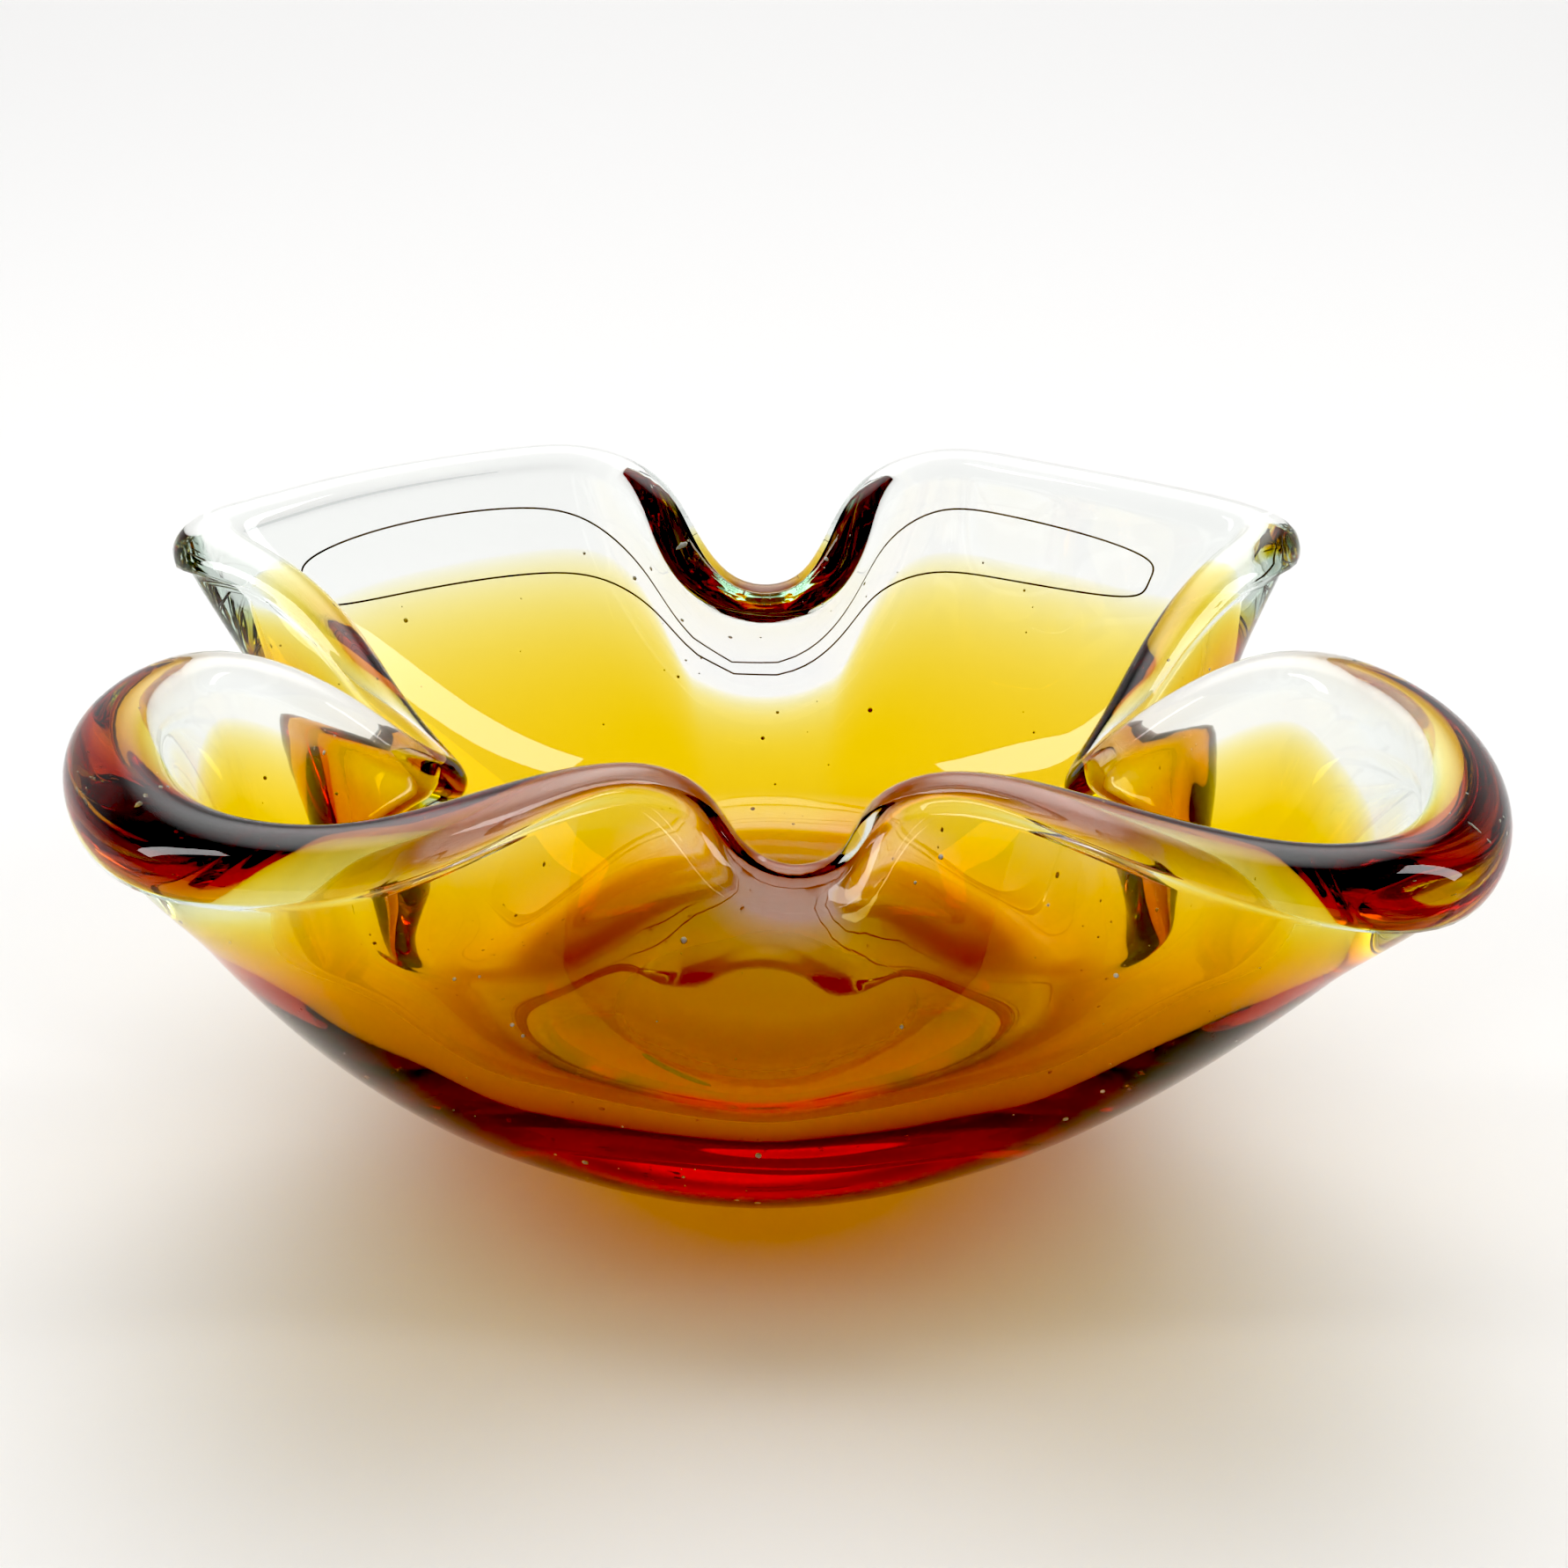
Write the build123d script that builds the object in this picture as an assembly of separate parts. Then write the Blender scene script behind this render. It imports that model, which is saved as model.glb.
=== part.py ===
from build123d import *

import os

import numpy as np

# A free-blown bowl in cased glass. A thick clear body stands on a small ground flat and
# opens into four lobes, parted by four pinches in the rim. A layer of amber glass is
# sunk inside the clear wall and stops short of the rim.
# Millimetres, +Z up, origin at the middle of the ground flat, front pinch toward -Y.

# The wall
FOOT_RADIUS = 26.0        # ground flat underneath, and the level floor above it
BASE_THICKNESS = 18.0     # glass at the foot, before the floor is built up
FLOOR_BUILD_UP = 12.0     # extra glass on the floor, which dies away up the wall
BUILD_UP_ENDS = 0.95      # part of the way up the wall where none of it is left
WALL_THICKNESS = 9.0      # from half way up to just below the lip
RIM_RADIUS = 112.0        # rim of the bowl before it is pinched
RIM_HEIGHT = 88.0         # and its height, to the middle of the wall
BELLY = 2.7               # profile power: higher is flatter below and steeper above
PINCH = 5.0               # how fast the pinches die away down the wall: higher is faster

GROUND = 2.2              # how far the belly rises off the table round the ground flat
GROUND_ENDS = 0.24        # part of the way up the wall over which it does so

# The lip
LIP_RISE = 0.95           # rounded top above the rim line, as a part of the half width
LIP_SQUARENESS = 2.3      # 2 is a half ellipse, higher is squarer
LIP_STARTS = 0.88         # part of the way up the wall where it swells into the lip
LIP_SPREAD = 0.45         # part of the swelling that is spread over the upper half

# The amber layer
AMBER_TOP = 0.925         # part of the way up the wall where the colour ends, at the back
AMBER_TOP_IN_PINCH = 0.80  # where it ends in the back pinch
PINCH_RIM = 80.0          # height of rim up to which it ends as in the pinch
AMBER_TOP_AT_FRONT = 0.98  # where it ends all round the front and the sides
FRONT_STARTS = 66.0       # it starts to run higher from here
FRONT_ENDS = 36.0         # and has done so from here on, both along Y
AMBER_DIP = 0.03          # how much lower the colour ends in the widest part of the lip
DIP_STARTS = 7.0          # half width of lip from which it dips
AMBER_AT_FLOOR = 5.5      # thickness under the floor
AMBER_IN_BELLY = 8.0      # thickness in the belly round the foot
AMBER_IN_WALL = 3.2       # thickness half way up
AMBER_AT_EDGE = 0.4       # thickness at its upper edge
AMBER_FADE = 9.0          # higher keeps it thick for longer before it thins, at the back
AMBER_FADE_AT_FRONT = 18.0  # and all round the front and the sides
LINING = 1.6              # clear glass between the colour and the inside of the bowl

# How finely the surfaces are followed
STATIONS = 120            # points round each section
EVENING = 0.013           # part of a turn over which the wall's direction is evened out

# The rim line, run clockwise seen from above, starting at the front pinch:
# x, y and height of the middle of the rim, the bearing in degrees of the place on the
# round bowl it was drawn from, and half the width of the lip there
RIM_LINE = [
    # front pinch
    (4, -57, 70, 270, 4.8),
    (-5, -54, 73, 264, 4.9),
    (-11, -52, 80, 257, 5.1),
    (-20, -55, 86.5, 249, 5.4),
    # front left lobe
    (-37, -66, 88, 240, 6.2),
    (-60, -82, 87, 231, 7.2),
    (-84, -77, 86, 221, 8.2),
    (-100, -54, 86, 208, 8.8),
    (-103, -28, 87, 195, 8.2),
    (-93, -14, 87.5, 189, 6.8),
    (-76, -13, 81.5, 186, 5.6),
    # left pinch
    (-63, -9, 70, 183, 4.9),
    (-58, -1, 64, 180, 4.6),
    (-66, 7, 69, 176, 4.8),
    # back left lobe
    (-80.5, 24, 80, 169, 5.8),
    (-97.5, 40, 87, 161, 6.6),
    (-107.5, 49.5, 89, 154, 7),
    (-99, 61, 90.5, 147, 6.2),
    (-80, 75, 92, 136, 5.4),
    (-53, 90, 92, 121, 5.2),
    (-37, 94, 91, 111, 5.2),
    # back pinch
    (-24, 86, 87, 103, 5),
    (-17, 77, 79, 98, 4.8),
    (-9, 73, 71, 94, 4.6),
    (0, 72, 68.5, 90, 4.6),
    (9, 73, 71, 86, 4.6),
    (16, 77, 79, 82, 4.8),
    (23, 86, 87, 77, 5),
    # back right lobe
    (36, 91, 91, 69, 5.2),
    (52, 83, 92, 59, 5.2),
    (80, 64.5, 91.5, 45, 5.8),
    (97, 49.5, 89, 33, 6.8),
    (89.5, 38, 87, 22, 6.3),
    (77, 24, 80, 13, 5.6),
    # right pinch
    (64, 5, 69, 5, 4.8),
    (58, -3, 64, 0, 4.6),
    (61, -10, 70, 356, 4.9),
    # front right lobe
    (73, -15, 81.5, 353, 5.6),
    (88, -16, 87.5, 350, 6.8),
    (102, -29, 87.5, 344, 8),
    (107, -57, 85.5, 332, 8.4),
    (94, -83, 84.5, 321, 7.8),
    (72, -85, 86, 310, 6.8),
    (45, -70, 88, 300, 6),
    (27, -59, 86.5, 291, 5.4),
    # front pinch
    (18, -56, 80, 283, 5.1),
    (13, -57, 73, 276, 4.9),
]


def ease(x):
    """0 up to 0, 1 from 1 on, and a smooth step in between."""
    x = np.clip(x, 0.0, 1.0)
    return x * x * (3.0 - 2.0 * x)


def rim_stations():
    """The rim line at even stations: position, outward direction and half lip width.

    A closed cubic spline through RIM_LINE; neighbours are parted by the three quarter
    power of their distance, so that close points do not make the curve swing."""
    table = np.array(RIM_LINE, float)
    bearing = np.radians(table[:, 3])
    through = np.column_stack([table[:, :3], np.cos(bearing), np.sin(bearing), table[:, 4]])
    ahead = np.roll(through, -1, axis=0)
    gap = np.linalg.norm(ahead[:, :3] - through[:, :3], axis=1) ** 0.75
    start = np.concatenate([[0.0], np.cumsum(gap)[:-1]])

    # second derivatives at the points, from equal slopes on both sides of each
    count = len(table)
    here = np.arange(count)
    behind = (here - 1) % count
    beyond = (here + 1) % count
    matrix = np.zeros((count, count))
    matrix[here, behind] = gap[behind]
    matrix[here, here] = 2.0 * (gap[behind] + gap)
    matrix[here, beyond] = gap
    slope = (ahead - through) / gap[:, None]
    bend = np.linalg.solve(matrix, 6.0 * (slope - slope[behind]))

    at = np.arange(STATIONS) / STATIONS * gap.sum()
    k = np.searchsorted(start, at, side="right") - 1
    span = gap[k][:, None]
    a = (at - start[k])[:, None]
    b = span - a
    k2 = beyond[k]
    curve = (bend[k] * b**3 + bend[k2] * a**3) / (6.0 * span)
    curve += (through[k] / span - bend[k] * span / 6.0) * b
    curve += (through[k2] / span - bend[k2] * span / 6.0) * a
    outward = curve[:, 3:5] / np.linalg.norm(curve[:, 3:5], axis=1)[:, None]
    return curve[:, :3], outward, curve[:, 5]


RIM, OUTWARD, LIP = rim_stations()


def middle(u):
    """The ring of stations in the middle of the wall, u running from foot 0 to rim 1.

    Here and below, u is one number or one for each station."""
    u = np.broadcast_to(u, STATIONS)[:, None]
    above = np.clip(u, 0.0, None)
    drawn_in = above**PINCH
    radius = FOOT_RADIUS + (RIM_RADIUS - FOOT_RADIUS) * u
    height = BASE_THICKNESS / 2 + (RIM_HEIGHT - BASE_THICKNESS / 2) * above**BELLY
    flat = radius * OUTWARD + drawn_in * (RIM[:, :2] - RIM_RADIUS * OUTWARD)
    tall = height + drawn_in * (RIM[:, 2:] - RIM_HEIGHT)
    return np.hstack([flat, tall])


def evened(vectors):
    """Unit vectors averaged with their neighbours round the ring, by a bell curve."""
    count = len(vectors)
    turns = np.fft.rfftfreq(count, 1.0 / count)
    weight = np.exp(-0.5 * (2.0 * np.pi * EVENING * turns) ** 2)
    soft = np.fft.irfft(np.fft.rfft(vectors, axis=0) * weight[:, None], count, axis=0)
    return soft / np.linalg.norm(soft, axis=1)[:, None]


def directions(u):
    """At each station: the unit vector through the wall to the inside, and up the wall."""
    step = 0.001
    up = middle(u + step) - middle(u - step)
    ring = middle(u)
    along = np.roll(ring, -1, axis=0) - np.roll(ring, 1, axis=0)
    through = np.cross(along, up)
    through /= np.linalg.norm(through, axis=1)[:, None]
    up /= np.linalg.norm(up, axis=1)[:, None]
    return evened(through), evened(up)


def plain_half(u):
    """Half the thickness of the wall as it would be without a swollen lip."""
    return BASE_THICKNESS / 2 + (WALL_THICKNESS - BASE_THICKNESS) / 2 * ease(u / 0.5)


def built_up(u):
    """How much higher the inside stands for the glass built up on the floor."""
    return FLOOR_BUILD_UP * (1.0 - ease(u / BUILD_UP_ENDS))


def half_wall(u):
    """Half the thickness of the wall at each station."""
    plain = plain_half(u)
    swell = LIP_SPREAD * ease((u - 0.5) / 0.5)
    swell += (1.0 - LIP_SPREAD) * ease((u - LIP_STARTS) / (1.0 - LIP_STARTS))
    return plain + (LIP - plain) * swell


def off_the_table(u):
    """How far the belly has risen above the ground flat, on top of the wall's own curve."""
    left = 1.0 - min(u / GROUND_ENDS, 1.0)
    return GROUND * (1.0 - left**2)


def level(u, offset):
    """The ring of stations at u, moved toward the inside of the bowl by offset."""
    through, _ = directions(u)
    return middle(u) + through * np.reshape(offset, (-1, 1))


def over_the_edge(u, centre, half, rise, angles):
    """Rings over a rounded edge, from the outer side of the wall round to the inner."""
    through, up = directions(u)
    power = 2.0 / LIP_SQUARENESS
    rings = []
    for angle in np.radians(angles):
        across = np.sign(np.sin(angle)) * abs(np.sin(angle)) ** power
        above = abs(np.cos(angle)) ** power
        side = np.reshape(centre + half * across, (-1, 1))
        lift = np.reshape(rise * above, (-1, 1))
        rings.append(middle(u) + through * side + up * lift)
    return rings


def skin(rings):
    """A closed solid whose skin passes through the rings, flat across both ends."""
    knots = [i / STATIONS for i in range(STATIONS + 1)]
    wires = []
    for ring in rings:
        points = [tuple(p) for p in ring]
        edge = Edge.make_spline(points, periodic=True, parameters=knots)
        wires.append(Wire([edge]))
    return Solid.make_loft(wires)


def envelope():
    """The whole bowl, foot to lip outside and back down to the floor inside."""
    wall = [0.0, 0.05, 0.1, 0.16, 0.26, 0.37, 0.48, 0.58, 0.67, 0.75, 0.82, 0.88, 0.94, 1.0]
    outside = [level(u, off_the_table(u) - half_wall(u)) for u in wall]
    lip = over_the_edge(1.0, 0.0, LIP, LIP_RISE * LIP, [-65, -40, -15, 15, 40, 65])
    inside = [level(u, half_wall(u) + built_up(u)) for u in reversed(wall)]
    return skin(outside + lip + inside)


def amber(part, front):
    """Thickness of the colour at part of its way up: more in the belly than under the
    floor, thin in the wall, and thinning faster and faster to its edge."""
    body = AMBER_AT_FLOOR + (AMBER_IN_BELLY - AMBER_AT_FLOOR) * ease(part / 0.28)
    body += (AMBER_IN_WALL - AMBER_IN_BELLY) * ease((part - 0.3) / 0.35)
    fade = AMBER_FADE + (AMBER_FADE_AT_FRONT - AMBER_FADE) * front
    return body + (AMBER_AT_EDGE - body) * part**fade


def amber_layer():
    """The sunken colour: a cup inside the wall, LINING below the inner surface, that at
    the front and sides runs up the middle of the lip, a little less far where the lip is
    widest. At the back its edge is lower, and lowest in the pinch, in step with the rim."""
    height = RIM[:, 2]
    lobe = ease((height - PINCH_RIM) / (height.max() - PINCH_RIM))
    back = AMBER_TOP_IN_PINCH + (AMBER_TOP - AMBER_TOP_IN_PINCH) * lobe
    front = ease((FRONT_STARTS - RIM[:, 1]) / (FRONT_STARTS - FRONT_ENDS))
    dip = AMBER_DIP * ease((LIP - DIP_STARTS) / (LIP.max() - DIP_STARTS))
    top = back + (AMBER_TOP_AT_FRONT - back) * front - dip
    parts = [0.0, 0.12, 0.25, 0.37, 0.48, 0.58, 0.67, 0.75, 0.83, 0.89, 0.94, 0.975, 1.0]
    inner = [plain_half(p * top) + built_up(p * top) - LINING for p in parts]
    under = [level(p * top, i - amber(p, front)) for p, i in zip(parts, inner)]
    over = [level(p * top, i) for p, i in zip(reversed(parts), reversed(inner))]
    half = AMBER_AT_EDGE / 2
    edge = over_the_edge(top, inner[-1] - half, half, half, [-45, 0, 45])
    return skin(under + edge + over)


def save(solid, node, colour):
    """Name and colour a solid and write it to its STEP file."""
    solid.label = node
    solid.color = Color(*colour)
    export_step(solid, os.path.join("parts", node + ".step"))


os.makedirs("parts", exist_ok=True)
colour_layer = amber_layer()
clear_body = (envelope() - colour_layer).solid()
save(colour_layer, "amber_layer", (0.85, 0.50, 0.05))
save(clear_body, "clear_casing", (0.85, 0.88, 0.85))
for name, solid in (("amber_layer", colour_layer), ("clear_casing", clear_body)):
    box = solid.bounding_box()
    print(name, "valid", solid.is_valid, "volume", round(solid.volume), "mm3")
    print("  from", [round(v, 1) for v in box.min], "to", [round(v, 1) for v in box.max])
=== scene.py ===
import math

import bpy
import numpy as np
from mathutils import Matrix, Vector


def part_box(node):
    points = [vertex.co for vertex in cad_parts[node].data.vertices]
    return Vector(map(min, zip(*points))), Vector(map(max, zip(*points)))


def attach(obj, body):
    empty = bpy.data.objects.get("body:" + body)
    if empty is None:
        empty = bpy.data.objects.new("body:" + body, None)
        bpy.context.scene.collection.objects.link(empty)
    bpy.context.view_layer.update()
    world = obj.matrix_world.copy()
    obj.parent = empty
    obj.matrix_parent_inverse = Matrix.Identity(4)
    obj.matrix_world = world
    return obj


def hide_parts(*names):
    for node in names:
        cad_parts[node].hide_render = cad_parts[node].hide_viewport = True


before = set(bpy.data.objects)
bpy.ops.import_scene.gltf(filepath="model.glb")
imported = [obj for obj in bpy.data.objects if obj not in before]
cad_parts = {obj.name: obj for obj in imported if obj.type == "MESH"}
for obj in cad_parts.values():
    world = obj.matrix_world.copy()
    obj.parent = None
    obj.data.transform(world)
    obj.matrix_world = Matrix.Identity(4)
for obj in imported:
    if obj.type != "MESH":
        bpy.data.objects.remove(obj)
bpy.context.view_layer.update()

bl_info = {
    "name": "Pinched Cased Glass Bowl",
    "version": (1, 0, 0),
    "blender": (4, 5, 0),
    "location": "3D View > Sidebar > Glass Bowl",
    "description": "Blows a four-lobed clear bowl with an amber layer sunk in its wall",
    "category": "Add Mesh",
}

CASING_LOW, CASING_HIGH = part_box("clear_casing")

STATIONS = 320        # round each ring of the wall
WALL_ROWS = 125       # up each side of the wall
LIP_ROWS = 24         # over the lip
AMBER_ROWS = 100      # up each side of the amber layer
AMBER_EDGE_ROWS = 5   # over its upper edge
SEAM_POINTS = 900     # along the seam line
SEAM_SIDES = 5        # round it
SEED_SIDES = 6        # round each seed bubble

# The rim, run clockwise seen from above from the front pinch: x, y and height of the
# middle of the rim in millimetres, the bearing in degrees of the place on the round bowl
# it was drawn from, and half the width of the lip
RIM_LINE = np.array([
    # front pinch
    (4, -57, 70, 270, 4.8), (-5, -54, 73, 264, 4.9), (-11, -52, 80, 257, 5.1),
    (-20, -55, 86.5, 249, 5.4),
    # front left lobe
    (-37, -66, 88, 240, 6.2), (-60, -82, 87, 231, 7.2), (-84, -77, 86, 221, 8.2),
    (-100, -54, 86, 208, 8.8), (-103, -28, 87, 195, 8.2), (-93, -14, 87.5, 189, 6.8),
    (-76, -13, 81.5, 186, 5.6),
    # left pinch
    (-63, -9, 70, 183, 4.9), (-58, -1, 64, 180, 4.6), (-66, 7, 69, 176, 4.8),
    # back left lobe
    (-80.5, 24, 80, 169, 5.8), (-97.5, 40, 87, 161, 6.6), (-107.5, 49.5, 89, 154, 7),
    (-99, 61, 90.5, 147, 6.2), (-80, 75, 92, 136, 5.4), (-53, 90, 92, 121, 5.2),
    (-37, 94, 91, 111, 5.2),
    # back pinch
    (-24, 86, 87, 103, 5), (-17, 77, 79, 98, 4.8), (-9, 73, 71, 94, 4.6), (0, 72, 68.5, 90, 4.6),
    (9, 73, 71, 86, 4.6), (16, 77, 79, 82, 4.8), (23, 86, 87, 77, 5),
    # back right lobe
    (36, 91, 91, 69, 5.2), (52, 83, 92, 59, 5.2), (80, 64.5, 91.5, 45, 5.8),
    (97, 49.5, 89, 33, 6.8), (89.5, 38, 87, 22, 6.3), (77, 24, 80, 13, 5.6),
    # right pinch
    (64, 5, 69, 5, 4.8), (58, -3, 64, 0, 4.6), (61, -10, 70, 356, 4.9),
    # front right lobe
    (73, -15, 81.5, 353, 5.6), (88, -16, 87.5, 350, 6.8), (102, -29, 87.5, 344, 8),
    (107, -57, 85.5, 332, 8.4), (94, -83, 84.5, 321, 7.8), (72, -85, 86, 310, 6.8),
    (45, -70, 88, 300, 6), (27, -59, 86.5, 291, 5.4),
    # front pinch
    (18, -56, 80, 283, 5.1), (13, -57, 73, 276, 4.9),
], float)


# --- the shape of the wall ---------------------------------------------------------------

def unit(vectors):
    """Vectors scaled to length 1."""
    return vectors / np.linalg.norm(vectors, axis=-1, keepdims=True)


def ease(x):
    """Smooth step: 3x^2 - 2x^3 between 0 and 1, flat outside."""
    x = np.clip(x, 0.0, 1.0)
    return x * x * (3.0 - 2.0 * x)


def rim_curve(count):
    """Closed cubic spline through RIM_LINE at `count` even steps of its parameter.

    Neighbouring points are parted by the three quarter power of their distance. The
    second derivatives solve the cyclic three-term system that makes the slopes equal on
    both sides of every point. Returns the place, the outward direction and the lip."""
    bearing = np.radians(RIM_LINE[:, 3])
    through = np.column_stack([RIM_LINE[:, :3], np.cos(bearing), np.sin(bearing), RIM_LINE[:, 4]])
    ahead = np.roll(through, -1, axis=0)
    gap = np.linalg.norm(ahead[:, :3] - through[:, :3], axis=1) ** 0.75
    start = np.concatenate([[0.0], np.cumsum(gap)[:-1]])
    here = np.arange(len(gap))
    behind, beyond = np.roll(here, 1), np.roll(here, -1)
    matrix = np.zeros((len(gap), len(gap)))
    matrix[here, behind] = gap[behind]
    matrix[here, here] = 2.0 * (gap[behind] + gap)
    matrix[here, beyond] = gap
    slope = (ahead - through) / gap[:, None]
    bend = np.linalg.solve(matrix, 6.0 * (slope - slope[behind]))
    at = np.arange(count) / count * gap.sum()
    k = np.searchsorted(start, at, side="right") - 1
    k2 = beyond[k]
    span = gap[k][:, None]
    a = (at - start[k])[:, None]
    b = span - a
    curve = (bend[k] * b**3 + bend[k2] * a**3) / (6.0 * span)
    curve += (through[k] / span - bend[k] * span / 6.0) * b
    curve += (through[k2] / span - bend[k2] * span / 6.0) * a
    return curve[:, :3], unit(curve[:, 3:5]), curve[:, 5]


class Wall:
    """The wall of the bowl as arrays of rows (up the wall) by stations (round it). The
    parameter u, rows by stations or rows by 1, runs from the foot at 0 to the rim at 1."""

    def __init__(self, shape, stations):
        self.s = shape
        self.rim, self.outward, self.lip = rim_curve(stations)

    def middle(self, u):
        """The middle of the wall. The radius grows evenly with u from foot to rim, the
        height with a power of u, and the pinched rim's shift fades in with a higher
        power of u, so that the pinches die away down the wall."""
        s = self.s
        u = u[:, :, None]
        drawn_in = np.clip(u, 0.0, None) ** s.pinch
        radius = s.foot_radius + (s.rim_radius - s.foot_radius) * u
        height = s.base / 2 + (s.rim_height - s.base / 2) * np.clip(u, 0.0, None) ** s.belly
        flat = radius * self.outward + drawn_in * (self.rim[:, :2] - s.rim_radius * self.outward)
        tall = height + drawn_in * (self.rim[:, 2:3] - s.rim_height)
        return np.concatenate([flat, np.broadcast_to(tall, flat.shape[:2] + (1,))], axis=2)

    def directions(self, u):
        """Unit vectors through the wall to the inside and up the wall, each averaged
        round the ring with a bell curve so that tight pinches do not fold the faces."""
        step = 0.001
        up = self.middle(u + step) - self.middle(u - step)
        ring = self.middle(u)
        through = np.cross(np.roll(ring, -1, axis=1) - np.roll(ring, 1, axis=1), up)
        return self.evened(through), self.evened(up)

    def evened(self, vectors):
        """Unit vectors after the quick changes round the ring are taken out: each wave
        round it is weakened by a bell curve of its number."""
        count = vectors.shape[1]
        waves = np.fft.rfftfreq(count, 1.0 / count)
        weight = np.exp(-0.5 * (2.0 * np.pi * self.s.evening * waves) ** 2)[None, :, None]
        return unit(np.fft.irfft(np.fft.rfft(unit(vectors), axis=1) * weight, count, axis=1))

    def plain(self, u):
        """Half the thickness without the lip: thick at the base, thin half way up."""
        return self.s.base / 2 + (self.s.wall - self.s.base) / 2 * ease(u / 0.5)

    def built_up(self, u):
        """How much higher the inside stands for the glass built up on the floor."""
        return self.s.build_up * (1.0 - ease(u / self.s.build_up_ends))

    def half(self, u):
        """Half the thickness: the plain one, which from half way up to the rim swells
        smoothly into the lip."""
        s = self.s
        plain = self.plain(u)
        narrow = ease((u - s.lip_starts) / (1.0 - s.lip_starts))
        swell = s.lip_spread * ease(u / 0.5 - 1.0) + (1.0 - s.lip_spread) * narrow
        return plain + (self.lip - plain) * swell

    def outside(self, u):
        """Where the outer surface lies: the belly rises off the table, fast at first,
        round the ground flat."""
        left = 1.0 - np.clip(u / self.s.ground_ends, 0.0, 1.0)
        return self.s.ground * (1.0 - left**2) - self.half(u)

    def level(self, u, offset):
        """The middle moved toward the inside of the bowl by `offset`."""
        through, _ = self.directions(u)
        return self.middle(u) + through * offset[:, :, None]

    def edge(self, u, centre, half, rise, squareness, steps):
        """Rings over a rounded edge: half a superellipse standing on the wall at u."""
        angle = np.radians(np.linspace(-90.0, 90.0, steps + 2)[1:-1])
        across = np.sign(np.sin(angle)) * np.abs(np.sin(angle)) ** (2.0 / squareness)
        above = np.abs(np.cos(angle)) ** (2.0 / squareness)
        through, up = self.directions(u)
        side = centre[None, :] + half * across[:, None]
        lift = rise * above[:, None]
        return self.middle(u) + through * side[:, :, None] + up * lift[:, :, None]


def closed_skin(rows):
    """Vertices and quads of a tube of rings, closed at both ends by a fan of rings that
    shrink to a middle point. Faces wind so that they point out of the glass."""
    count = rows.shape[1]
    shrink = np.array([0.0, 0.35, 0.7])[:, None, None]
    first = rows[0].mean(axis=0)
    last = rows[-1].mean(axis=0)
    start = first + (rows[0] - first)[None] * shrink[1:]
    end = last + (rows[-1] - last)[None] * shrink[:0:-1]
    grid = np.concatenate([start, rows, end])
    total = len(grid)
    points = np.concatenate([grid.reshape(-1, 3), [first], [last]])
    j = np.arange(count)
    i = np.arange(total - 1)[:, None]
    k = (j + 1) % count
    quads = np.stack([i * count + j, (i + 1) * count + j, (i + 1) * count + k, i * count + k], axis=-1)
    low = np.stack([j, k, np.full(count, total * count)], axis=-1)
    top = (total - 1) * count
    high = np.stack([top + k, top + j, np.full(count, total * count + 1)], axis=-1)
    return points, quads.reshape(-1, 4), np.concatenate([low, high])


def make_mesh(name, points, quads, triangles):
    """A smooth-shaded object at the origin from arrays of points, quads and triangles."""
    mesh = bpy.data.meshes.new(name)
    loops = np.concatenate([quads.ravel(), triangles.ravel()]).astype(np.int32)
    sizes = np.concatenate([np.full(len(quads), 4), np.full(len(triangles), 3)]).astype(np.int32)
    mesh.vertices.add(len(points))
    mesh.vertices.foreach_set("co", np.ravel(points).astype(np.float32))
    mesh.loops.add(len(loops))
    mesh.loops.foreach_set("vertex_index", loops)
    mesh.polygons.add(len(sizes))
    starts = np.concatenate([[0], np.cumsum(sizes)[:-1]]).astype(np.int32)
    mesh.polygons.foreach_set("loop_start", starts)
    mesh.polygons.foreach_set("use_smooth", np.ones(len(sizes), bool))
    mesh.update(calc_edges=True)
    if mesh.validate():
        raise RuntimeError(name + " has a broken face")
    obj = bpy.data.objects.new(name, mesh)
    bpy.context.scene.collection.objects.link(obj)
    return obj


def to_frame(points, wall_points):
    """Millimetres to metres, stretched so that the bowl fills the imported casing's box."""
    low, high = wall_points.min(axis=0), wall_points.max(axis=0)
    frame_low, frame_high = np.array(CASING_LOW), np.array(CASING_HIGH)
    return frame_low + (points - low) / (high - low) * (frame_high - frame_low)


# --- shader maths ------------------------------------------------------------------------

WHITE = (1.0, 1.0, 1.0, 1.0)


class Sock:
    """A shader socket that can be added, taken away and multiplied."""

    def __init__(self, tree, socket):
        self.tree = tree
        self.socket = socket

    def maths(self, operation, a, b):
        return Shade(self.tree).node("ShaderNodeMath", {"operation": operation}, i0=a, i1=b)

    def __add__(self, other):
        return self.maths("ADD", self, other)

    __radd__ = __add__

    def __mul__(self, other):
        return self.maths("MULTIPLY", self, other)

    __rmul__ = __mul__

    def __sub__(self, other):
        return self.maths("SUBTRACT", self, other)

    def __rsub__(self, other):
        return self.maths("SUBTRACT", other, self)


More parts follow.
